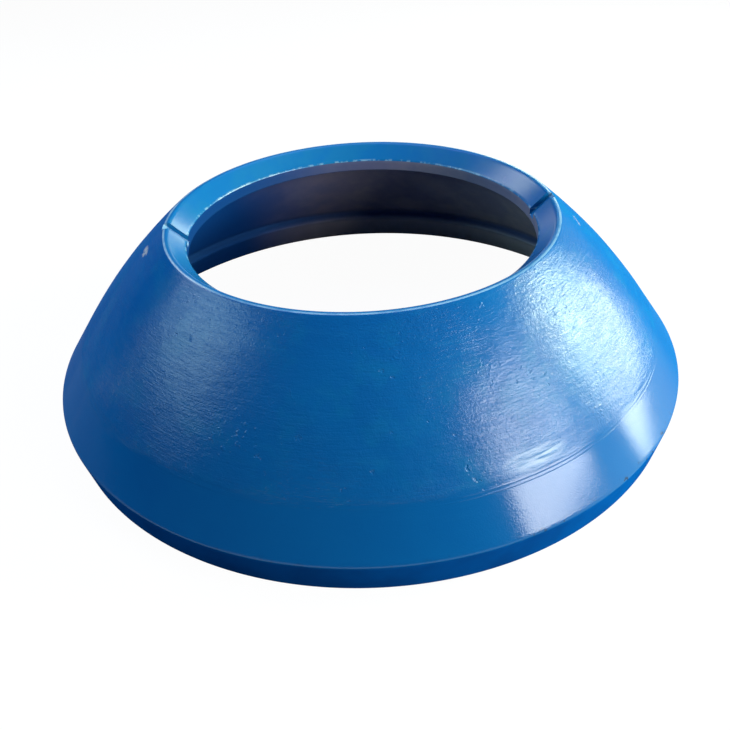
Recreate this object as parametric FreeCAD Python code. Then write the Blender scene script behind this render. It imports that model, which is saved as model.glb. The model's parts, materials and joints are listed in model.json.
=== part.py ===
import FreeCAD, Part

# Cone crusher mantle: the wear liner of the crushing head, one steel casting.
#
# The liner is a truncated conical shell that stands on its flat base ring. From
# the top down, its bore side has a conical nut seat, a short cylindrical pilot
# land, an as-cast wall set back to leave room for backing compound, a ledge, and
# the machined cone that sits on the crushing head. Its outer side is the crushing
# face, crowned above and straight on the machined lower band, which ends at the
# drip edge over an undercut skirt. Two opposite key slots for the locking ring
# are milled through the nut seat and the lip.
#
# Frame: millimetres, +Z up along the axis, origin at the centre of the base,
# key slots on the X axis.

import math
import os

# Driving dimensions, in millimetres and degrees. Angles are from the horizontal.
MAX_DIAMETER = 1200.0            # over the drip edge
HEIGHT = 329.0                   # base to the top of the lip

PILOT_BORE_DIAMETER = 644.0      # cylindrical land that centres the liner
PILOT_LENGTH = 22.0
PILOT_SHOULDER_DROP = 8.0        # slope of the land's underside, out to the cast wall

NUT_SEAT_WIDTH = 29.0            # radial width of the conical nut seat
NUT_SEAT_ANGLE = 45.0
LIP_WIDTH = 8.0                  # flat top of the lip

HEAD_SEAT_LENGTH = 107.0         # along the slope of the machined cone
HEAD_SEAT_ANGLE = 48.3
BACKING_GAP = 18.0               # cast wall to head cone, square to the cone

BASE_WIDTH = 16.0                # flat ring that the liner stands on
SKIRT_UNDERCUT = 11.0            # how far the base stays inside the drip edge
SKIRT_HEIGHT = 58.0              # base to the drip edge

BAND_LENGTH = 84.0               # along the slope of the machined lower band
BAND_ANGLE = 54.0
FACE_CROWN = 9.0                 # rise of the crushing face over its chord

KEY_SLOT_COUNT = 2
KEY_SLOT_WIDTH = 23.0
KEY_SLOT_DEPTH = 9.0             # square to the nut seat
KEY_SLOT_ROOT_RADIUS = 2.0

# Cast corners are rounded, and machined edges are broken by a small chamfer.
LIP_OUTER_RADIUS = 3.0
RELIEF_ROOT_RADIUS = 12.0        # top of the cast wall, under the pilot land
LEDGE_ROOT_RADIUS = 14.0
DRIP_EDGE_RADIUS = 3.0
LEDGE_NOSE_CHAMFER = 4.0         # top of the machined cone
LIP_INNER_CHAMFER = 1.0
NUT_SEAT_CHAMFER = 1.0           # where the nut seat meets the pilot land
PILOT_END_CHAMFER = 1.5
BASE_INNER_CHAMFER = 1.5
BASE_OUTER_CHAMFER = 2.0


def up_the_slope(corner, angle, length):
    """The (radius, height) reached from a corner by rising inward along a slope."""
    slope = math.radians(angle)
    return (corner[0] - length * math.cos(slope), corner[1] + length * math.sin(slope))


# Outline corners as (radius, height), worked out from the sizes above.
DRIP_EDGE = (MAX_DIAMETER / 2, SKIRT_HEIGHT)
BASE_OUTER = (DRIP_EDGE[0] - SKIRT_UNDERCUT, 0.0)
BASE_INNER = (BASE_OUTER[0] - BASE_WIDTH, 0.0)
BAND_TOP = up_the_slope(DRIP_EDGE, BAND_ANGLE, BAND_LENGTH)

PILOT_RADIUS = PILOT_BORE_DIAMETER / 2
LIP_INNER = (PILOT_RADIUS + NUT_SEAT_WIDTH, HEIGHT)
LIP_OUTER = (LIP_INNER[0] + LIP_WIDTH, HEIGHT)
NUT_SEAT_RISE = NUT_SEAT_WIDTH * math.tan(math.radians(NUT_SEAT_ANGLE))
PILOT_TOP = (PILOT_RADIUS, HEIGHT - NUT_SEAT_RISE)
PILOT_BOTTOM = (PILOT_RADIUS, PILOT_TOP[1] - PILOT_LENGTH)

# The ledge faces up at 45 degrees, and the cast wall above it follows the head cone.
HEAD_SLOPE = math.radians(HEAD_SEAT_ANGLE)
LEDGE_STEP = BACKING_GAP / (math.sin(HEAD_SLOPE) + math.cos(HEAD_SLOPE))
LEDGE_NOSE = up_the_slope(BASE_INNER, HEAD_SEAT_ANGLE, HEAD_SEAT_LENGTH)
LEDGE_ROOT = (LEDGE_NOSE[0] + LEDGE_STEP, LEDGE_NOSE[1] + LEDGE_STEP)
RELIEF_HEIGHT = PILOT_BOTTOM[1] - PILOT_SHOULDER_DROP - LEDGE_ROOT[1]
RELIEF_TOP = up_the_slope(LEDGE_ROOT, HEAD_SEAT_ANGLE, RELIEF_HEIGHT / math.sin(HEAD_SLOPE))

# The corners in order, from the lower band down, under and up the bore to the lip.
OUTLINE = (
    BAND_TOP, DRIP_EDGE, BASE_OUTER, BASE_INNER, LEDGE_NOSE, LEDGE_ROOT,
    RELIEF_TOP, PILOT_BOTTOM, PILOT_TOP, LIP_INNER, LIP_OUTER,
)
CORNER_RADII = {
    DRIP_EDGE: DRIP_EDGE_RADIUS,
    LEDGE_ROOT: LEDGE_ROOT_RADIUS,
    RELIEF_TOP: RELIEF_ROOT_RADIUS,
}
CORNER_CHAMFERS = {
    BASE_OUTER: BASE_OUTER_CHAMFER,
    BASE_INNER: BASE_INNER_CHAMFER,
    LEDGE_NOSE: LEDGE_NOSE_CHAMFER,
    PILOT_BOTTOM: PILOT_END_CHAMFER,
    PILOT_TOP: NUT_SEAT_CHAMFER,
    LIP_INNER: LIP_INNER_CHAMFER,
}


def in_section(corner):
    """An outline corner as a point of the XZ section plane."""
    return FreeCAD.Vector(corner[0], 0, corner[1])


def broken_corner(before, corner, after):
    """The arc or chamfer that breaks an outline corner, from its first end to its last."""
    point = in_section(corner)
    side_before = in_section(before) - point
    side_after = in_section(after) - point
    half_angle = side_before.getAngle(side_after) / 2
    longest_reach = 0.45 * min(side_before.Length, side_after.Length)
    side_before.normalize()
    side_after.normalize()

    if corner in CORNER_CHAMFERS:
        reach = min(CORNER_CHAMFERS[corner], longest_reach)
        return Part.LineSegment(point + side_before * reach, point + side_after * reach)

    reach = min(CORNER_RADII[corner] / math.tan(half_angle), longest_reach)
    radius = reach * math.tan(half_angle)
    inward = (side_before + side_after).normalize()
    arc_middle = point + inward * (radius / math.sin(half_angle) - radius)
    return Part.Arc(point + side_before * reach, arc_middle, point + side_after * reach)


def crushing_face_arc():
    """The crowned part of the crushing face, from the lip down to the lower band."""
    top = in_section(LIP_OUTER)
    bottom = in_section(BAND_TOP)
    chord = bottom - top
    outward = FreeCAD.Vector(-chord.z, 0, chord.x).normalize()
    crest = (top + bottom) / 2 + outward * FACE_CROWN
    return Part.Arc(top, crest, bottom)


def liner_section():
    """The half section of the liner, as a face in the XZ plane."""
    curves = [crushing_face_arc()]
    run_start = in_section(BAND_TOP)
    for before, corner, after in zip(OUTLINE, OUTLINE[1:], OUTLINE[2:]):
        corner_curve = broken_corner(before, corner, after)
        curves += [Part.LineSegment(run_start, corner_curve.StartPoint), corner_curve]
        run_start = corner_curve.EndPoint
    curves.append(Part.LineSegment(run_start, in_section(LIP_OUTER)))
    return Part.Face(Part.Wire([curve.toShape() for curve in curves]))


def turned_liner():
    """The liner turned about its axis, with the lip rounded into the crushing face."""
    origin = FreeCAD.Vector(0, 0, 0)
    axis = FreeCAD.Vector(0, 0, 1)
    liner = liner_section().revolve(origin, axis, 360)
    lip_edges = [
        edge for edge in liner.Edges
        if isinstance(edge.Curve, Part.Circle)
        and abs(edge.Curve.Radius - LIP_OUTER[0]) < 0.01
        and abs(edge.Curve.Center.z - HEIGHT) < 0.01
    ]
    return liner.makeFillet(min(LIP_OUTER_RADIUS, 0.45 * LIP_WIDTH), lip_edges)


def key_slot_space():
    """The space of one key slot along +X, with its floor parallel to the nut seat."""
    # Drawn level along X with the floor at the origin, then tilted onto the seat.
    seat_length = NUT_SEAT_WIDTH / math.cos(math.radians(NUT_SEAT_ANGLE))
    overrun = LIP_WIDTH + KEY_SLOT_DEPTH + KEY_SLOT_WIDTH
    space = Part.makeBox(
        seat_length + 2 * overrun, KEY_SLOT_WIDTH, KEY_SLOT_DEPTH + overrun,
        FreeCAD.Vector(-overrun, -KEY_SLOT_WIDTH / 2, -KEY_SLOT_DEPTH))
    floor_sides = [
        edge for edge in space.Edges
        if edge.BoundBox.XLength > seat_length and edge.BoundBox.ZMax < 0
    ]
    space = space.makeFillet(KEY_SLOT_ROOT_RADIUS, floor_sides)
    space.rotate(FreeCAD.Vector(0, 0, 0), FreeCAD.Vector(0, 1, 0), -NUT_SEAT_ANGLE)
    space.translate(in_section(PILOT_TOP))
    return space


def mantle():
    """The finished liner with its key slots."""
    liner = turned_liner()
    for index in range(KEY_SLOT_COUNT):
        space = key_slot_space()
        turn = 360 / KEY_SLOT_COUNT * index
        space.rotate(FreeCAD.Vector(0, 0, 0), FreeCAD.Vector(0, 0, 1), turn)
        liner = liner.cut(space)
    return liner


os.makedirs("parts", exist_ok=True)
mantle().exportStep("parts/mantle.step")
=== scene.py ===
"""Dresses the solid model of a cone crusher mantle for its portrait.

The mantle is one steel casting: a truncated cone with a machined nut seat and
pilot land at the top, a rough crushing face painted in gloss blue, a smooth
machined band under it and an undercut skirt. Lengths are in metres, in the
frame of the solid model: +Z up along the axis, key slots on the X axis.
"""

import json
import logging
import math
from dataclasses import dataclass, field
from enum import Enum
from typing import Callable, Union

import bpy
from mathutils import Matrix, Vector


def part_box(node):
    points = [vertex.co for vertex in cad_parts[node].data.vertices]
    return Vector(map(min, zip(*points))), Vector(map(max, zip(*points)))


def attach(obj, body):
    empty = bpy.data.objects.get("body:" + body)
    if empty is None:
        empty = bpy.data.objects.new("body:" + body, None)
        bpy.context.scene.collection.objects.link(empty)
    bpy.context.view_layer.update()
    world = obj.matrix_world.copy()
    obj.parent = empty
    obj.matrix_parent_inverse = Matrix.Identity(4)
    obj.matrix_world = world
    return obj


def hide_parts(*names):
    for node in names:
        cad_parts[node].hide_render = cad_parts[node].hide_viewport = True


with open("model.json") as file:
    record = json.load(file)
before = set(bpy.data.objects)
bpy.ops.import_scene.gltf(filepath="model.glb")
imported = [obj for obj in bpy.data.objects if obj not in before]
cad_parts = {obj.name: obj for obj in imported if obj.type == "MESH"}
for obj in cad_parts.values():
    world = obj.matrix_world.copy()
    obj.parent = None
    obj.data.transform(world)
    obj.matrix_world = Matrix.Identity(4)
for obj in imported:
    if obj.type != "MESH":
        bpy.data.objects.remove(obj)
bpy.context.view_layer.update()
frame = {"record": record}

LOG = logging.getLogger("mantle")

Colour = tuple[float, float, float]
Point = tuple[float, float, float]
SectionPoint = tuple[float, float]
Number = Union[float, "Signal"]


# ---------------------------------------------------------------- shader graph


class Signal:
    """A number that flows between shader nodes, with Python's operators on it."""

    def __init__(self, graph: "Graph", socket: bpy.types.NodeSocket) -> None:
        """Wraps an output socket of a graph.

        Args:
            graph: The graph that the socket's node belongs to.
            socket: The output socket.
        """
        self.graph = graph
        self.socket = socket

    def __add__(self, other: Number) -> "Signal":
        """The sum of this signal and another."""
        return self.graph.maths("ADD", self, other)

    def __radd__(self, other: Number) -> "Signal":
        """The sum, with the signal on the right."""
        return self.graph.maths("ADD", other, self)

    def __sub__(self, other: Number) -> "Signal":
        """This signal less another."""
        return self.graph.maths("SUBTRACT", self, other)

    def __rsub__(self, other: Number) -> "Signal":
        """A number less this signal."""
        return self.graph.maths("SUBTRACT", other, self)

    def __mul__(self, other: Number) -> "Signal":
        """The product of this signal and another."""
        return self.graph.maths("MULTIPLY", self, other)

    def __rmul__(self, other: Number) -> "Signal":
        """The product, with the signal on the right."""
        return self.graph.maths("MULTIPLY", other, self)

    def __truediv__(self, other: Number) -> "Signal":
        """This signal divided by another."""
        return self.graph.maths("DIVIDE", self, other)

    def __rtruediv__(self, other: Number) -> "Signal":
        """A number divided by this signal."""
        return self.graph.maths("DIVIDE", other, self)


class Graph:
    """Builds one material's or world's node tree."""

    def __init__(self, tree: bpy.types.NodeTree) -> None:
        """Empties a node tree and takes it over.

        Args:
            tree: The node tree of a material or a world.
        """
        self.tree = tree
        tree.nodes.clear()

    def add(
        self,
        kind: str,
        settings: dict | None = None,
        feeds: dict | None = None,
        output: int | str = 0,
    ) -> Signal:
        """Adds one node, sets it up and wires its inputs.

        Args:
            kind: The node's type name.
            settings: Properties of the node.
            feeds: The values or signals of its inputs, by name or index.
            output: The output that the returned signal reads.

        Returns:
            The signal of the chosen output.
        """
        node = self.tree.nodes.new(kind)
        for name, value in (settings or {}).items():
            setattr(node, name, value)
        for key, value in (feeds or {}).items():
            if isinstance(value, Signal):
                self.tree.links.new(value.socket, node.inputs[key])
            else:
                node.inputs[key].default_value = value
        if not len(node.outputs):
            return Signal(self, None)
        return Signal(self, node.outputs[output])

    def maths(self, operation: str, first: Number, second: Number = 0.0) -> Signal:
        """One Math node on two numbers."""
        return self.add("ShaderNodeMath", {"operation": operation}, {0: first, 1: second})

    def fade(self, value: Signal, start: float, end: float) -> Signal:
        """A smooth step of a signal.

        Args:
            value: The signal.
            start: Where the step is still 0.
            end: Where the step has reached 1; it may be less than start.

        Returns:
            A signal from 0 to 1.
        """
        return self.add(
            "ShaderNodeMapRange",
            {"interpolation_type": "SMOOTHSTEP", "clamp": True},
            {"Value": value, "From Min": start, "From Max": end},
        )

    def bump_ring(self, value: Signal, centre: float, width: float) -> Signal:
        """A rounded pulse of a signal around a centre.

        Args:
            value: The signal.
            centre: Where the pulse peaks at 1.
            width: The half width at which it has fallen to nothing.

        Returns:
            A signal from 0 to 1.
        """
        distance = self.maths("ABSOLUTE", value - centre)
        return self.fade(distance, width, 0.0)

    def noise(self, place: Signal, scale: float, detail: float = 2.0,
              roughness: float = 0.5, distortion: float = 0.0) -> Signal:
        """Perlin noise around a mean of 0.5.

        Args:
            place: The coordinates it is read at.
            scale: Features in each unit of length.
            detail: The number of finer octaves.
            roughness: The share of each finer octave.
            distortion: How far the pattern is warped.

        Returns:
            A signal from about 0 to 1.
        """
        return self.add(
            "ShaderNodeTexNoise", {"noise_dimensions": "3D"},
            {"Vector": place, "Scale": scale, "Detail": detail,
             "Roughness": roughness, "Distortion": distortion},
        )

    def mix_colour(self, share: Number, first: Union[Colour, Signal],
                   second: Union[Colour, Signal]) -> Signal:
        """A mix of two colours.

        Args:
            share: The share of the second colour.
            first: The first colour.
            second: The second colour.

        Returns:
            The mixed colour.
        """
        feeds = {0: share}
        for socket, colour in ((6, first), (7, second)):
            feeds[socket] = colour if isinstance(colour, Signal) else (*colour, 1.0)
        return self.add("ShaderNodeMix", {"data_type": "RGBA"}, feeds, output=2)


@dataclass(frozen=True)
class RingPlace:
    """Coordinates on the turned surface, all read from Object coordinates."""

    spot: Signal
    height: Signal
    radius: Signal
    bearing: Signal
    along: Signal
    streak: Signal

    @staticmethod
    def read(graph: Graph, mean_radius: float, stretch: float) -> "RingPlace":
        """Reads the coordinates.

        Args:
            graph: The graph to add the nodes to.
            mean_radius: The radius at which one unit around is one metre.
            stretch: How many times longer a streak is than it is wide.

        Returns:
            The place in space, the height, the distance from the axis, the bearing
            round it, the place around it alone, and the place squeezed so that a
            pattern on it runs around the axis.
        """
        spot = graph.add("ShaderNodeTexCoord", output="Object")
        parts = graph.add("ShaderNodeSeparateXYZ", {}, {0: spot}, output=0)
        node = parts.socket.node
        across, back, height = (Signal(graph, node.outputs[axis]) for axis in range(3))
        radius = graph.maths("SQRT", across * across + back * back)
        bearing = graph.maths("ARCTAN2", back, across)
        turn = mean_radius / radius
        along = graph.add("ShaderNodeCombineXYZ", {}, {0: across * turn, 1: back * turn, 2: 0.0})
        streak = graph.add(
            "ShaderNodeCombineXYZ", {},
            {0: across * turn, 1: back * turn, 2: height * stretch})
        return RingPlace(spot, height, radius, bearing, along, streak)

    def arc(self, centre: float, half_width: float, soft: float) -> Signal:
        """An arc of the ring.

        Args:
            centre: The bearing of its middle, in degrees.
            half_width: How far it reaches to each side, in degrees.
            soft: How wide its soft ends are, in degrees.

        Returns:
            1 on the arc and 0 off it.
        """
        graph = self.bearing.graph
        away = graph.maths("ABSOLUTE", self.bearing - math.radians(centre))
        return graph.fade(
            away, math.radians(half_width + soft), math.radians(max(half_width - soft, 0.0)))

    def patch(self, centre: float, height: float, half_width: float,
              half_height: float) -> Signal:
        """A soft oval patch on the face.

        Args:
            centre: The bearing of its middle, in degrees.
            height: The height of its middle.
            half_width: Its half width around the axis, in metres.
            half_height: Its half height.

        Returns:
            1 in its middle and 0 outside it.
        """
        graph = self.bearing.graph
        sideways = (self.bearing - math.radians(centre)) * self.radius * (1 / half_width)
        upward = (self.height - height) * (1 / half_height)
        return graph.fade(sideways * sideways + upward * upward, 1.0, 0.15)


# -------------------------------------------------------------------- finishes


class Finish(Enum):
    """The finishes of the casting, in the order of the mesh's material slots."""

    FACE = "mantle_paint_crushing_face"
    SEAT = "mantle_paint_machined_seat"
    SKIRT = "mantle_paint_undercut_skirt"
    BORE = "mantle_bore_overspray"


@dataclass(frozen=True)
class CrushingFacePaint:
    """Gloss blue brushed over the rough face, and sprayed on the machined band, with a painted
    highlight on a smooth smear above the ring line.
    """

    ring_height: float
    band_radius: float
    drip_height: float
    blue: Colour = (0.003, 0.122, 0.345)
    deep_blue: Colour = (0.002, 0.094, 0.305)
    dusty_blue: Colour = (0.008, 0.152, 0.37)
    teal: Colour = (0.004, 0.158, 0.34)
    # The pale blue of a painted highlight on the smear above the ring line.
    painted_highlight: Colour = (0.3, 0.45, 0.6)
    chip: Colour = (0.01, 0.02, 0.04)
    smudge: Colour = (0.6, 0.55, 0.5)
    rough_gloss: float = 0.24
    smooth_gloss: float = 0.125
    lump_height: float = 0.00045
    grain_height: float = 0.0004
    streak_height: float = 0.0006
    pit_depth: float = 0.0006
    blister_height: float = 0.0003
    ridge_height: float = 0.0003
    streak_stretch: float = 14.0
    ring_wander: float = 0.02
    highlight_smear_bearing: float = -67.5
    highlight_smear_rise: float = 0.019
    highlight_smear_size: tuple[float, float] = (0.066, 0.014)
    dust_arc: tuple[float, float, float] = (-150.0, 18.0, 14.0)
    dust_rise: float = 0.09
    dust_share: float = 0.92
    ridge_lines: tuple[tuple[float, float], ...] = ((0.0008, 0.0017), (-0.0037, 0.0014))

    def material(self) -> bpy.types.Material:
        """Builds the material."""
        made = bpy.data.materials.new(Finish.FACE.value)
        made.use_nodes = True
        graph = Graph(made.node_tree)
        ring = RingPlace.read(graph, self.band_radius, self.streak_stretch)
        wander = graph.noise(ring.streak, 7.0, 3.0, 0.6) - 0.5
        level = ring.height + wander * self.ring_wander
        rough_zone = graph.fade(level, self.ring_height - 0.004, self.ring_height + 0.014)
        # The smear is really smoother, with less relief; its pale colour below is a painted
        # highlight.
        smooth_smear_and_highlight = ring.patch(
            self.highlight_smear_bearing, self.ring_height + self.highlight_smear_rise, *self.highlight_smear_size)
        smooth_smear_and_highlight = smooth_smear_and_highlight * graph.fade(graph.noise(ring.streak, 22.0, 3.0, 0.6), 0.25, 0.62)
        rough_zone = rough_zone * (1.0 - smooth_smear_and_highlight * 0.8)
        patches = graph.fade(graph.noise(ring.spot, 8.5, 3.0, 0.55), 0.3, 0.72)
        height = self._relief(graph, ring, rough_zone, patches)
        normal = graph.add(
            "ShaderNodeBump", {}, {"Strength": 1.0, "Distance": 1.0, "Height": height})
        roughness = (
            self.smooth_gloss
            + rough_zone * (self.rough_gloss - self.smooth_gloss)
            + rough_zone * (patches - 0.5) * 0.06)
        # Mixes the painted highlight's pale blue into the smear.
        colour = graph.mix_colour(
            smooth_smear_and_highlight * 0.45, self._colour(graph, ring, rough_zone), self.painted_highlight)
        gloss = graph.add(
            "ShaderNodeBsdfPrincipled", {},
            {"Base Color": colour, "Roughness": roughness, "IOR": 1.5, "Normal": normal})
        matt = graph.add(
            "ShaderNodeBsdfPrincipled", {},
            {"Base Color": colour, "Roughness": 0.6, "Specular IOR Level": 0.0,
             "Normal": normal})
        facing = graph.add("ShaderNodeLayerWeight", {}, {"Blend": 0.5}, output="Facing")
        edge = graph.fade(ring.height, self.drip_height + 0.0012, self.drip_height - 0.0004)
        dull = graph.maths("MAXIMUM", graph.fade(facing, 0.5, 0.82) * 0.95, edge)
        side = graph.maths("COSINE", ring.bearing)
        dusted = graph.maths(
            "MAXIMUM", graph.fade(side, -0.82, -0.93),
            ring.arc(*self.dust_arc) * graph.fade(
                ring.height, self.ring_height + self.dust_rise, self.ring_height))
        dull = graph.maths("MAXIMUM", dull, dusted * self.dust_share)
        speckle = graph.fade(graph.noise(ring.spot, 380.0, 2.0, 0.7), 0.38, 0.66)
        worn = graph.fade(graph.noise(ring.streak, 24.0, 4.0, 0.7), 0.4, 0.68)
        flat = rough_zone * (speckle * 0.26 + worn * 0.3) + speckle * 0.12
        dull = dull + (1.0 - dull) * flat
        shader = graph.add("ShaderNodeMixShader", {}, {0: dull, 1: gloss, 2: matt})
        graph.add("ShaderNodeOutputMaterial", {}, {"Surface": shader})
        return made

    def _relief(self, graph: Graph, ring: RingPlace, rough_zone: Signal,
                patches: Signal) -> Signal:
        """The height of the paint's surface over the metal's mean face.

        Args:
            graph: The material's graph.
            ring: The coordinates.
            rough_zone: 1 on the rough face and 0 on the band.
            patches: Where the brush marks are strong.

        Returns:
            A height in metres.
        """
        lumps = graph.noise(ring.spot, 32.0, 2.0, 0.5) * self.lump_height
        grain = graph.noise(ring.spot, 210.0, 2.0, 0.6) * self.grain_height
        streaks = graph.noise(ring.streak, 30.0, 3.0, 0.6, 0.2) * self.streak_height
        rare = graph.fade(graph.noise(ring.spot, 13.0, 2.0), 0.56, 0.66)
        blisters = graph.fade(graph.noise(ring.spot, 150.0, 1.0), 0.58, 0.74) * rare
        sparse = graph.fade(graph.noise(ring.spot, 16.0, 1.0), 0.55, 0.64)
        pits = graph.fade(graph.noise(ring.spot, 105.0, 2.0), 0.64, 0.74) * sparse
        rough = rough_zone * (
            lumps + grain * (0.45 + patches * 0.75) + streaks * (0.35 + patches * 0.8)
            + blisters * self.blister_height - pits * self.pit_depth)
        fine = graph.noise(ring.spot, 420.0, 1.0, 0.5) * (self.grain_height * 0.3)
        shown = 0.12 + ring.arc(-66.0, 14.0, 8.0) * 0.88 + ring.arc(-30.0, 10.0, 8.0) * 0.3
        upper, lower = (
            graph.bump_ring(ring.height, self.ring_height + rise, width)
            for rise, width in self.ridge_lines)
        ridge = (upper + lower) * shown * self.ridge_height
        return rough + ridge + fine

    def _colour(self, graph: Graph, ring: RingPlace, rough_zone: Signal) -> Signal:
        """The paint's colour, with thin and dusty places, chips and smudges.

        Args:
            graph: The material's graph.
            ring: The coordinates.
            rough_zone: 1 on the rough face and 0 on the band.

        Returns:
            The colour.
        """
        broad = graph.fade(graph.noise(ring.spot, 4.5, 3.0, 0.5), 0.35, 0.7)
        base = graph.mix_colour(broad * 0.6, self.blue, self.deep_blue)
        mottle = graph.fade(graph.noise(ring.spot, 15.0, 4.0, 0.62), 0.48, 0.68)
        base = graph.mix_colour(mottle * rough_zone * 0.35, base, self.teal)
        dust = graph.fade(graph.noise(ring.streak, 10.0, 3.0, 0.65), 0.52, 0.78)
        base = graph.mix_colour(dust * (0.1 + rough_zone * 0.3), base, self.dusty_blue)
        nicks = graph.fade(graph.noise(ring.spot, 70.0, 2.0, 0.6), 0.63, 0.68)
        low = graph.fade(ring.height, self.drip_height + 0.011, self.drip_height)
        worn = 0.15 + ring.arc(-52.0, 18.0, 8.0) * 0.75
        base = graph.mix_colour(nicks * low * worn, base, self.chip)
        wiped = graph.fade(graph.noise(ring.spot, 55.0, 3.0, 0.6), 0.45, 0.6)
        marks = ring.patch(-175.0, 0.297, 0.026, 0.008) + ring.patch(-8.0, 0.299, 0.02, 0.007)
        return graph.mix_colour(marks * wiped * 0.8, base, self.smudge)


@dataclass(frozen=True)
class SeatPaint:
    """Thin gloss blue on the turned nut seat, the lip, the pilot land and the slots, with painted
    highlights along the seat's inner edge and on the lip.
    """

    mean_radius: float
    edge_height: float
    lip_radius: float
    blue: Colour = (0.005, 0.152, 0.385)
    thin: Colour = (0.01, 0.175, 0.36)
    # pale: the colour of the painted highlights on the seat's inner edge and on the lip.
    pale: Colour = (0.25, 0.47, 0.6)
    gloss: float = 0.24

    def material(self) -> bpy.types.Material:
        """Builds the material."""
        made = bpy.data.materials.new(Finish.SEAT.value)
        made.use_nodes = True
        graph = Graph(made.node_tree)
        ring = RingPlace.read(graph, self.mean_radius, 30.0)
        turning = graph.noise(ring.streak, 40.0, 2.0, 0.6) * 0.00003
        peel = graph.noise(ring.spot, 160.0, 1.0) * 0.00004
        normal = graph.add(
            "ShaderNodeBump", {},
            {"Strength": 1.0, "Distance": 1.0, "Height": turning + peel})
        cloud = graph.fade(graph.noise(ring.spot, 14.0, 3.0, 0.6), 0.4, 0.65)
        colour = graph.mix_colour(cloud * 0.6, self.blue, self.thin)
        # A painted highlight along the seat's inner edge, broken up like chipped paint.
        painted_edge_highlight = graph.bump_ring(ring.height, self.edge_height, 0.0035)
        broken = graph.fade(graph.noise(ring.spot, 60.0, 3.0, 0.6), 0.5, 0.62)
        colour = graph.mix_colour(painted_edge_highlight * broken * 0.8, colour, self.pale)
        # A painted highlight on the lip's flat top, made uneven by noise.
        lip = graph.fade(ring.radius, self.lip_radius - 0.0042, self.lip_radius - 0.0022)
        worn = 0.35 + graph.fade(graph.noise(ring.along, 22.0, 3.0, 0.6), 0.35, 0.6) * 0.5
        colour = graph.mix_colour(lip * worn, colour, self.pale)
        cloudy = graph.noise(ring.spot, 12.0, 2.0) - 0.5
        shader = graph.add(
            "ShaderNodeBsdfPrincipled", {},
            {"Base Color": colour, "Roughness": self.gloss + cloudy * 0.12,
             "IOR": 1.5, "Normal": normal})
        graph.add("ShaderNodeOutputMaterial", {}, {"Surface": shader})
        return made


@dataclass(frozen=True)
class DullPaint:
    """Thin overspray with little gloss, on faces that the painter reached last. In the bore, the
    +X side and its foot are paler, partly bare metal and partly painted light that lifts the dim
    inside.
    """

    finish: Finish
    blue: Colour
    second_tone_and_painted_light: Colour
    grain_height: float
    roughness: float = 0.75
    one_sided: float = 0.0
    land_height: float = 9.0
    ledge_height: float = 9.0
    land: Colour = (0.006, 0.045, 0.17)
    ledge: Colour = (0.012, 0.055, 0.17)
    # foot: a pale colour, partly bare metal and partly painted light lifting the dim foot of the
    # bore on the +X side.
    foot: Colour = (0.8, 0.72, 0.7)
    # lit_edge: the colour of a painted highlight.
    lit_edge: Colour = (0.02, 0.14, 0.42)

    def material(self) -> bpy.types.Material:
        """Builds the material."""
        made = bpy.data.materials.new(self.finish.value)
        made.use_nodes = True
        graph = Graph(made.node_tree)
        spot = graph.add("ShaderNodeTexCoord", output="Object")
        grain = graph.noise(spot, 90.0, 4.0, 0.6) * self.grain_height
        pores = graph.noise(spot, 300.0, 2.0, 0.6) * (self.grain_height * 0.4)
        normal = graph.add(
            "ShaderNodeBump", {},
            {"Strength": 1.0, "Distance": 1.0, "Height": grain + pores})
        thin = graph.fade(graph.noise(spot, 9.0, 4.0, 0.6), 0.35, 0.68)
        across = graph.add("ShaderNodeSeparateXYZ", {}, {0: spot}, output=0)
        height = graph.add("ShaderNodeSeparateXYZ", {}, {0: spot}, output=2)
        # Paler toward +X: partly bare metal, partly painted light that lifts the dim inside.
        bare_side_and_painted_light = graph.fade(across, -0.28, 0.14)
        bare_and_painted_light_share = thin * (1.0 - self.one_sided) + bare_side_and_painted_light * (0.7 + thin * 0.3) * self.one_sided
        colour = graph.mix_colour(bare_and_painted_light_share, self.blue, self.second_tone_and_painted_light)
        # The bore's foot on the +X side is paler still: partly bare metal, partly painted light.
        foot = graph.fade(height, self.ledge_height - 0.004, self.ledge_height - 0.016)
        colour = graph.mix_colour(
            foot * bare_side_and_painted_light * (0.8 * self.one_sided), colour, self.foot)
        ledge = graph.bump_ring(height, self.ledge_height - 0.005, 0.022)
        colour = graph.mix_colour(ledge * 0.9, colour, self.ledge)
        above = graph.fade(height, self.land_height - 0.001, self.land_height + 0.001)
        colour = graph.mix_colour(above * (0.9 - bare_side_and_painted_light * 0.35), colour, self.land)
        # A painted highlight along the pilot land's lower edge.
        edge = graph.bump_ring(height, self.land_height - 0.001, 0.0022)
        colour = graph.mix_colour(edge * (0.85 - bare_side_and_painted_light * 0.6), colour, self.lit_edge)
        shader = graph.add(
            "ShaderNodeBsdfPrincipled", {},
            {"Base Color": colour, "Roughness": self.roughness + (thin - 0.5) * 0.1,
             "Specular IOR Level": 0.0, "Normal": normal})
        graph.add("ShaderNodeOutputMaterial", {}, {"Surface": shader})
        return made


# ---------------------------------------------------------------- edit helpers


def leave_edit_mode() -> None:
    """Returns to object mode with nothing selected."""
    if bpy.context.object and bpy.context.object.mode != "OBJECT":
        bpy.ops.object.mode_set(mode="OBJECT")
    bpy.ops.object.select_all(action="DESELECT")


def make_active(piece: bpy.types.Object) -> None:
    """Selects one object alone and makes it active."""
    leave_edit_mode()
    piece.select_set(True)
    bpy.context.view_layer.objects.active = piece


def apply_modifier(piece: bpy.types.Object, kind: str, settings: dict) -> None:
    """Adds a modifier to a piece and applies it.

    Args:
        piece: The object.
        kind: The modifier's type.
        settings: Its properties.
    """
    make_active(piece)
    modifier = piece.modifiers.new(kind.title(), kind)
    for name, value in settings.items():
        setattr(modifier, name, value)
    bpy.ops.object.modifier_apply(modifier=modifier.name)


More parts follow.
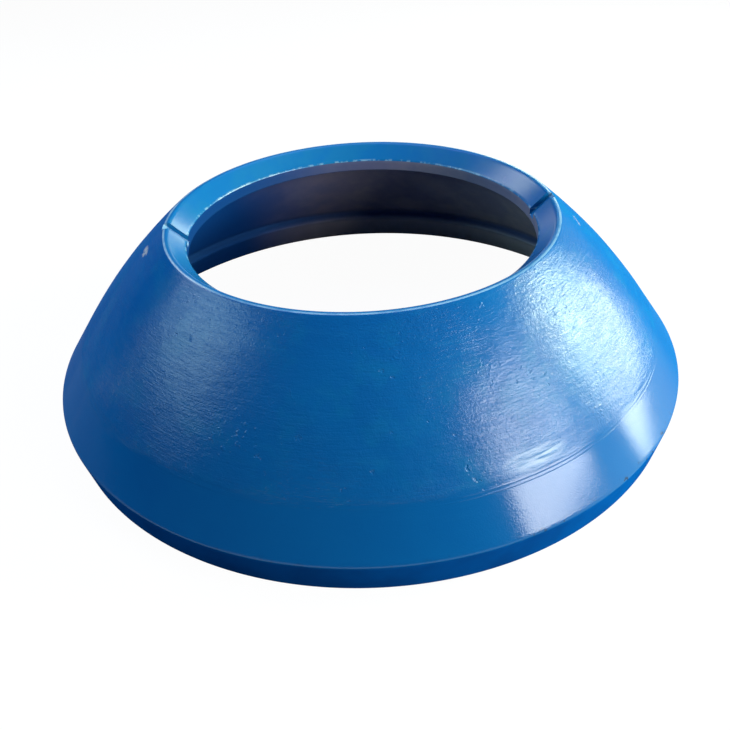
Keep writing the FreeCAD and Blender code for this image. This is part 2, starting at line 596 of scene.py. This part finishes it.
# ---------------------------------------------------------------------- mantle


@dataclass
class Corner:
    """One corner of the section and the run of edges that leads on from it."""

    radius: float
    height: float
    run_cuts: int = 0
    reach: float = 0.0
    segments: int = 1


@dataclass
class Mantle:
    """The liner: its section, the turned casting, the key slots and its finish."""

    outer_radius: float
    height: float
    pilot_radius: float
    pilot_bottom: float
    pilot_top: float
    steps_around: int = 540
    skirt_height: float = 0.058
    skirt_undercut: float = 0.011
    base_width: float = 0.016
    band_length: float = 0.084
    band_angle: float = 54.0
    face_crown: float = 0.009
    crown_steps: int = 58
    lip_width: float = 0.008
    nut_seat_width: float = 0.029
    shoulder_drop: float = 0.008
    head_seat_angle: float = 48.3
    head_seat_length: float = 0.107
    backing_gap: float = 0.018
    slot_width: float = 0.023
    slot_depth: float = 0.009
    slot_root_radius: float = 0.002
    nut_seat_angle: float = 45.0
    ledge_height: float = 0.094
    lip_outer_reach: float = 0.0019
    band_cuts: int = 13
    smooth_below: float = 28.0
    roughness_fade: float = 0.012
    waves: tuple[tuple[str, float, float], ...] = (
        ("hand_ground_waves", 0.11, 0.0008), ("cast_lumps", 0.038, 0.0006))
    piece: bpy.types.Object = field(default=None, repr=False)

    @classmethod
    def from_frame(cls) -> "Mantle":
        """Takes the driving sizes from the solid model's box and mounts."""
        low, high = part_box("mantle")
        mounts = {mount["name"]: mount for mount in frame["record"]["mounts"]}
        bore = mounts["pilot_bore"]
        reach = bore["dims"]["length_mm"] / 2000
        return cls(
            outer_radius=high[0],
            height=high[2],
            pilot_radius=bore["dims"]["r_mm"] / 1000,
            pilot_bottom=bore["pos_m"][2] - reach - 0.0015,
            pilot_top=bore["pos_m"][2] + reach + 0.001,
        )

    def up_the_slope(self, start: SectionPoint, angle: float, length: float) -> SectionPoint:
        """The section point reached from another by rising inward along a slope."""
        slope = math.radians(angle)
        return (start[0] - length * math.cos(slope), start[1] + length * math.sin(slope))

    @property
    def drip_edge(self) -> SectionPoint:
        """The widest corner, at the foot of the band."""
        return (self.outer_radius, self.skirt_height)

    @property
    def band_top(self) -> SectionPoint:
        """The ring line, where the rough face meets the machined band."""
        return self.up_the_slope(self.drip_edge, self.band_angle, self.band_length)

    @property
    def lip_outer(self) -> SectionPoint:
        """The lip's outer corner."""
        return (self.pilot_radius + self.nut_seat_width + self.lip_width, self.height)

    def crown(self) -> list[SectionPoint]:
        """The crowned face from the lip down to the ring line, both ends left out."""
        (top_r, top_z), (low_r, low_z) = self.lip_outer, self.band_top
        chord = math.hypot(low_r - top_r, low_z - top_z)
        half = 2 * math.atan(2 * self.face_crown / chord)
        radius = chord / 2 / math.sin(half)
        across, down = (low_r - top_r) / chord, (low_z - top_z) / chord
        points = []
        for step in range(1, self.crown_steps):
            turn = half * (2 * step / self.crown_steps - 1)
            along = chord / 2 + radius * math.sin(turn)
            rise = radius * (math.cos(turn) - math.cos(half))
            points.append((top_r + across * along - down * rise,
                           top_z + down * along + across * rise))
        return points

    def bore_corners(self) -> list[Corner]:
        """The corners from the drip edge down, under and up the bore to the lip."""
        drip_r, drip_z = self.drip_edge
        base_outer = (drip_r - self.skirt_undercut, 0.0)
        base_inner = (base_outer[0] - self.base_width, 0.0)
        slope = math.radians(self.head_seat_angle)
        step = self.backing_gap / (math.sin(slope) + math.cos(slope))
        nose = self.up_the_slope(base_inner, self.head_seat_angle, self.head_seat_length)
        root = (nose[0] + step, nose[1] + step)
        rise = self.pilot_bottom - self.shoulder_drop - root[1]
        relief = self.up_the_slope(root, self.head_seat_angle, rise / math.sin(slope))
        seat_top = self.pilot_radius + self.nut_seat_width
        return [
            Corner(drip_r, drip_z, 5, 0.0024, 3),
            Corner(*base_outer, 1, 0.002, 1),
            Corner(*base_inner, 10, 0.0015, 1),
            Corner(*nose, 1, 0.004, 2),
            Corner(*root, 22, 0.006, 4),
            Corner(*relief, 1, 0.008, 3),
            Corner(self.pilot_radius, self.pilot_bottom, 2, 0.0015, 1),
            Corner(self.pilot_radius, self.pilot_top, 7, 0.001, 1),
            Corner(seat_top, self.height, 1, 0.001, 1),
        ]

    def draw_section(self) -> None:
        """Draws the closed section in the XZ plane, corner by corner."""
        leave_edit_mode()
        start = self.lip_outer
        bpy.ops.mesh.primitive_plane_add(size=0.001, location=(start[0], 0.0, start[1]))
        self.piece = bpy.context.object
        self.piece.name = "mantle_casting"
        self.piece.data.name = "mantle_casting"
        bpy.ops.object.transform_apply(location=True, rotation=True, scale=True)
        bpy.ops.object.mode_set(mode="EDIT")
        bpy.ops.mesh.merge(type="CENTER")
        place = start
        corners = self.bore_corners()
        outline = [*self.crown(), self.band_top, *((c.radius, c.height) for c in corners)]
        for point in outline:
            bpy.ops.mesh.extrude_region_move(
                TRANSFORM_OT_translate={"value": (point[0] - place[0], 0.0, point[1] - place[1])})
            place = point
        self._select_verts(lambda co: self._near(co, start) or self._near(co, place))
        bpy.ops.mesh.edge_face_add()
        self._divide_runs(corners)
        self._round_corners(corners)

    @staticmethod
    def _near(co: Vector, point: SectionPoint, within: float = 2e-5) -> bool:
        """Whether a vertex of the section lies at a section point."""
        return math.hypot(co.x - point[0], co.z - point[1]) < within

    def _select_verts(self, wanted: Callable[[Vector], bool]) -> None:
        """Selects vertices by their place, from edit mode and back to it.

        Args:
            wanted: Says for a vertex's place whether it is selected.
        """
        bpy.ops.mesh.select_mode(type="VERT")
        bpy.ops.mesh.select_all(action="DESELECT")
        bpy.ops.object.mode_set(mode="OBJECT")
        for vertex in self.piece.data.vertices:
            vertex.select = wanted(vertex.co)
        bpy.ops.object.mode_set(mode="EDIT")

    def _divide_runs(self, corners: list[Corner]) -> None:
        """Divides the straight runs, so that rings of faces stay near square.

        Args:
            corners: The corners in order; the last run ends at the lip's outer edge.
        """
        runs = [(Corner(*self.band_top, self.band_cuts), corners[0])]
        runs += list(zip(corners, corners[1:] + [Corner(*self.lip_outer)]))
        for start, end in runs:
            if start.run_cuts:
                ends = ((start.radius, start.height), (end.radius, end.height))
                self._select_verts(
                    lambda co, ends=ends: any(self._near(co, point) for point in ends))
                bpy.ops.mesh.subdivide(number_cuts=start.run_cuts)

    def _round_corners(self, corners: list[Corner]) -> None:
        """Breaks each corner of the section by its chamfer or radius.

        Args:
            corners: The corners of the bore side.
        """
        for corner in [*corners, Corner(*self.lip_outer, 0, self.lip_outer_reach, 3)]:
            point = (corner.radius, corner.height)
            self._select_verts(lambda co, point=point: self._near(co, point))
            bpy.ops.mesh.bevel(
                affect="VERTICES", offset=corner.reach, segments=corner.segments,
                clamp_overlap=True)

    def turn(self) -> None:
        """Spins the section about the axis into the closed casting."""
        bpy.ops.mesh.select_all(action="SELECT")
        bpy.ops.mesh.spin(
            steps=self.steps_around, angle=2 * math.pi,
            center=(0.0, 0.0, 0.0), axis=(0.0, 0.0, 1.0))
        bpy.ops.mesh.select_all(action="SELECT")
        bpy.ops.mesh.remove_doubles(threshold=1e-5)
        bpy.ops.mesh.normals_make_consistent(inside=False)
        leave_edit_mode()

    def weigh_face(self) -> None:
        """Marks how much of the casting's roughness each place on the outside has."""
        group = self.piece.vertex_groups.new(name="rough_face")
        ring_z = self.band_top[1]
        for vertex in self.piece.data.vertices:
            radial = Vector((vertex.co.x, vertex.co.y)).normalized()
            outward = vertex.normal.x * radial.x + vertex.normal.y * radial.y
            if outward < 0.2 or vertex.normal.z < 0.2:
                continue
            above = min(max((vertex.co.z - ring_z) / self.roughness_fade, 0.0), 1.0)
            below_lip = min(max((self.height - 0.006 - vertex.co.z) / 0.02, 0.0), 1.0)
            weight = above * below_lip
            if weight > 0:
                group.add([vertex.index], weight, "REPLACE")

    def roughen(self) -> None:
        """Raises the cast and hand-ground unevenness of the crushing face."""
        for name, size, strength in self.waves:
            texture = bpy.data.textures.new(name, "CLOUDS")
            texture.noise_scale = size
            texture.noise_depth = 1
            apply_modifier(self.piece, "DISPLACE", {
                "texture": texture, "texture_coords": "LOCAL", "direction": "NORMAL",
                "mid_level": 0.5, "strength": strength, "vertex_group": "rough_face"})

    def slot_cutter(self) -> bpy.types.Object:
        """Models the space of the key slot along +X, tilted onto the nut seat."""
        seat_length = self.nut_seat_width * math.sqrt(2)
        overrun = self.lip_width + self.slot_depth + self.slot_width
        length = seat_length + 2 * overrun
        tall = self.slot_depth + overrun
        leave_edit_mode()
        bpy.ops.mesh.primitive_cube_add(
            size=1.0, location=(seat_length / 2, 0.0, tall / 2 - self.slot_depth),
            scale=(length, self.slot_width, tall))
        cutter = bpy.context.object
        bpy.ops.object.transform_apply(location=True, rotation=True, scale=True)
        bpy.ops.object.mode_set(mode="EDIT")
        bpy.ops.mesh.select_mode(type="EDGE")
        bpy.ops.mesh.select_all(action="DESELECT")
        bpy.ops.object.mode_set(mode="OBJECT")
        low = -self.slot_depth + 1e-5
        for edge in cutter.data.edges:
            ends = [cutter.data.vertices[index].co for index in edge.vertices]
            edge.select = all(co.z < low for co in ends) and abs(ends[0].x - ends[1].x) > 0.01
        bpy.ops.object.mode_set(mode="EDIT")
        bpy.ops.mesh.bevel(offset=self.slot_root_radius, segments=3)
        bpy.ops.object.mode_set(mode="OBJECT")
        cutter.rotation_euler = (0.0, -math.radians(self.nut_seat_angle), 0.0)
        cutter.location = (self.pilot_radius, 0.0, self.pilot_top)
        bpy.ops.object.transform_apply(location=True, rotation=True, scale=True)
        return cutter

    def cut_slots(self) -> None:
        """Mills the two opposite key slots through the nut seat and the lip."""
        for turn in (0.0, math.pi):
            cutter = self.slot_cutter()
            cutter.data.transform(Matrix.Rotation(turn, 4, "Z"))
            apply_modifier(self.piece, "BOOLEAN", {
                "operation": "DIFFERENCE", "solver": "EXACT", "object": cutter})
            bpy.data.objects.remove(cutter, do_unlink=True)

    def finish_of(self, centre: Vector, normal: Vector) -> Finish:
        """Picks the finish of a face from its place and the way it looks.

        Args:
            centre: The face's centre.
            normal: Its normal.

        Returns:
            The finish.
        """
        radius = math.hypot(centre.x, centre.y)
        outward = (normal.x * centre.x + normal.y * centre.y) / radius
        if radius < self.lip_outer[0] and centre.z > self.pilot_top - self.slot_depth and (
                normal.z > 0.2 or abs(centre.y) < self.slot_width / 2 + 0.0005):
            return Finish.SEAT
        if outward > 0.0 and normal.z > 0.2:
            return Finish.FACE
        if outward > 0.3 and centre.z < self.skirt_height + 0.001:
            return Finish.SKIRT if normal.z < 0.05 else Finish.FACE
        if normal.z < -0.9 and centre.z < 0.003:
            return Finish.SKIRT
        return Finish.BORE

    def dress(self) -> None:
        """Gives the casting its finishes and smooth shading."""
        ring_radius, ring_height = self.band_top
        coats = {
            Finish.FACE: CrushingFacePaint(ring_height, ring_radius, self.skirt_height),
            Finish.SEAT: SeatPaint(self.pilot_radius, self.pilot_top, self.lip_outer[0]),
            Finish.SKIRT: DullPaint(
                Finish.SKIRT, blue=(0.002, 0.1, 0.38), second_tone_and_painted_light=(0.003, 0.075, 0.3),
                grain_height=0.0001, roughness=0.6),
            # The bore's second tone is pale: partly bare metal, partly painted light for the dim
            # inside.
            Finish.BORE: DullPaint(
                Finish.BORE, blue=(0.006, 0.062, 0.26), second_tone_and_painted_light=(0.5, 0.42, 0.42),
                grain_height=0.0004, roughness=0.85, one_sided=1.0,
                land_height=self.pilot_bottom, ledge_height=self.ledge_height),
        }
        mesh = self.piece.data
        mesh.materials.clear()
        order = list(Finish)
        for finish in order:
            mesh.materials.append(coats[finish].material())
        for face in mesh.polygons:
            face.material_index = order.index(self.finish_of(face.center, face.normal))
        make_active(self.piece)
        bpy.ops.object.shade_smooth_by_angle(angle=math.radians(self.smooth_below))
        leave_edit_mode()

    def build(self) -> bpy.types.Object:
        """Models and dresses the casting, and lets it stand for the solid."""
        self.draw_section()
        self.turn()
        self.weigh_face()
        self.roughen()
        self.cut_slots()
        self.dress()
        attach(self.piece, "root")
        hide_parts("mantle")
        return self.piece


# ---------------------------------------------------------------------- studio


@dataclass(frozen=True)
class Panel:
    """One soft light, placed by its bearing around the mantle."""

    name: str
    bearing: float
    rise: float
    distance: float
    width: float
    depth: float
    radiance: float
    tint: Colour = (1.0, 1.0, 1.0)

    def place(self, target: Vector) -> bpy.types.Object:
        """Adds the light, facing a target.

        Args:
            target: The point it faces.

        Returns:
            The light's object.
        """
        bearing, rise = math.radians(self.bearing), math.radians(self.rise)
        toward = Vector((
            math.cos(rise) * math.cos(bearing),
            math.cos(rise) * math.sin(bearing),
            math.sin(rise)))
        light = bpy.data.lights.new(self.name, "AREA")
        light.shape = "RECTANGLE"
        light.size = self.width
        light.size_y = self.depth
        light.color = self.tint
        light.energy = 4.0 * self.radiance * self.width * self.depth
        lamp = bpy.data.objects.new(self.name, light)
        lamp.location = target + toward * self.distance
        lamp.rotation_euler = toward.to_track_quat("Z", "Y").to_euler()
        lamp.visible_camera = False
        bpy.context.scene.collection.objects.link(lamp)
        return lamp


@dataclass
class Studio:
    """The pale floor, the soft panels and the dim room around them."""

    target: Vector = field(default_factory=lambda: Vector((0.0, 0.0, 0.2)))
    floor_size: float = 60.0
    room: Colour = (0.012, 0.022, 0.055)
    wall: Colour = (0.9, 0.9, 0.9)
    wall_top: float = 7.0
    wall_fade: float = 6.0
    wall_gap: tuple[float, float] = (-0.86, -0.6)
    floor_matt: float = 0.05
    floor_glow: float = 0.965
    floor_dim: float = 0.2
    panels: tuple[Panel, ...] = (
        Panel("panel_front_right", -37.0, 21.5, 3.6, 1.75, 1.75, 10.0, (0.98, 1.0, 1.0)),
        Panel("panel_right_core", 2.0, 26.5, 3.8, 0.75, 0.55, 34.0, (0.85, 1.0, 0.75)),
        Panel("panel_right_upper", 4.5, 19.5, 3.9, 2.1, 1.1, 11.0, (0.8, 1.0, 0.75)),
        Panel("panel_right_lower", 9.5, 4.8, 3.8, 2.3, 1.02, 8.5, (0.9, 0.96, 0.82)),
        Panel("panel_right_back", 63.7, 13.0, 3.5, 0.98, 0.61, 4.5, (0.85, 1.0, 0.8)),
        Panel("panel_left", 178.0, 33.0, 3.8, 2.9, 2.1, 1.6, (0.54, 0.9, 1.0)),
        Panel("panel_left_core", 181.0, 33.0, 3.7, 1.5, 1.3, 2.2, (0.54, 0.9, 1.0)),
        Panel("panel_left_back", 136.0, 36.0, 3.5, 2.2, 0.8, 4.5, (0.85, 0.95, 1.0)),
        Panel("panel_overhead", 86.7, 72.0, 3.1, 3.0, 2.0, 2.0, (0.33, 0.36, 1.0)),
    )

    @staticmethod
    def seen(graph: Graph) -> Signal:
        """1 for what the eye sees, straight or in gloss and glass, and 0 for light."""
        rays = "ShaderNodeLightPath"
        return graph.maths(
            "MAXIMUM", graph.add(rays, output="Is Camera Ray"),
            graph.maths(
                "MAXIMUM", graph.add(rays, output="Is Glossy Ray"),
                graph.add(rays, output="Is Transmission Ray")))

    def lay_floor(self) -> bpy.types.Object:
        """Lays the floor, pale to the eye and dim to the casting above it."""
        leave_edit_mode()
        bpy.ops.mesh.primitive_plane_add(size=self.floor_size, location=(0.0, 0.0, 0.0))
        floor = bpy.context.object
        floor.name = "studio_floor"
        made = bpy.data.materials.new("studio_floor_pale")
        made.use_nodes = True
        graph = Graph(made.node_tree)
        matt = graph.add("ShaderNodeBsdfDiffuse", {}, {"Color": (*[self.floor_matt] * 3, 1.0)})
        glow = graph.add(
            "ShaderNodeEmission", {}, {"Color": (1.0, 1.0, 1.0, 1.0), "Strength": self.floor_glow})
        pale = graph.add("ShaderNodeAddShader", {}, {0: matt, 1: glow})
        dim = graph.add("ShaderNodeBsdfDiffuse", {}, {"Color": (*[self.floor_dim] * 3, 1.0)})
        surface = graph.add("ShaderNodeMixShader", {}, {0: self.seen(graph), 1: dim, 2: pale})
        graph.add("ShaderNodeOutputMaterial", {}, {"Surface": surface})
        floor.data.materials.append(made)
        return floor

    def light_room(self) -> None:
        """Gives the room its dim level and a pale wall, left open toward -X."""
        world = bpy.data.worlds.new("studio_room")
        bpy.context.scene.world = world
        world.use_nodes = True
        graph = Graph(world.node_tree)
        toward = graph.add("ShaderNodeTexCoord", output="Generated")
        parts = graph.add("ShaderNodeSeparateXYZ", {}, {0: toward})
        rise = Signal(graph, parts.socket.node.outputs[2])
        low = graph.fade(rise, math.sin(math.radians(self.wall_top + self.wall_fade)),
                         math.sin(math.radians(self.wall_top)))
        walled = graph.fade(parts, *self.wall_gap)
        colour = graph.mix_colour(low * walled * self.seen(graph), self.room, self.wall)
        glow = graph.add("ShaderNodeBackground", {}, {"Color": colour, "Strength": 1.0})
        graph.add("ShaderNodeOutputWorld", {}, {"Surface": glow})

    def build(self) -> None:
        """Builds the floor, the room and the panels."""
        self.lay_floor()
        self.light_room()
        for panel in self.panels:
            panel.place(self.target)


@dataclass(frozen=True)
class ViewCamera:
    """The camera of the portrait, above and in front of the mantle."""

    centre: Point = (-0.0856, -1.2896, 0.9142)
    downward: float = 36.0
    turn: float = -3.3
    roll: float = -3.226
    lens: float = 37.306
    shift: tuple[float, float] = (0.00243, 0.00148)

    def build(self) -> bpy.types.Object:
        """Adds the camera and makes it the scene's own."""
        data = bpy.data.cameras.new("portrait_camera")
        data.sensor_width = 36.0
        data.lens = self.lens
        data.shift_x, data.shift_y = self.shift
        camera = bpy.data.objects.new("portrait_camera", data)
        camera.location = self.centre
        facing = (
            Matrix.Rotation(math.radians(self.turn), 3, "Z")
            @ Matrix.Rotation(math.radians(90.0 - self.downward), 3, "X")
            @ Matrix.Rotation(math.radians(self.roll), 3, "Z"))
        camera.rotation_euler = facing.to_euler()
        bpy.context.scene.collection.objects.link(camera)
        bpy.context.scene.camera = camera
        return camera


def main() -> None:
    """Builds the mantle, the studio and the camera in order."""
    logging.basicConfig(level=logging.INFO, format="%(name)s: %(message)s")
    bpy.context.scene.view_settings.view_transform = "Standard"
    mantle = Mantle.from_frame()
    casting = mantle.build()
    triangles = sum(len(face.vertices) - 2 for face in casting.data.polygons)
    LOG.info("%s: %d triangles", casting.name, triangles)
    Studio().build()
    LOG.info("studio: floor, room and panels")
    camera = ViewCamera().build()
    LOG.info("%s: lens %.1f mm", camera.name, camera.data.lens)


if __name__ == "__main__":
    main()
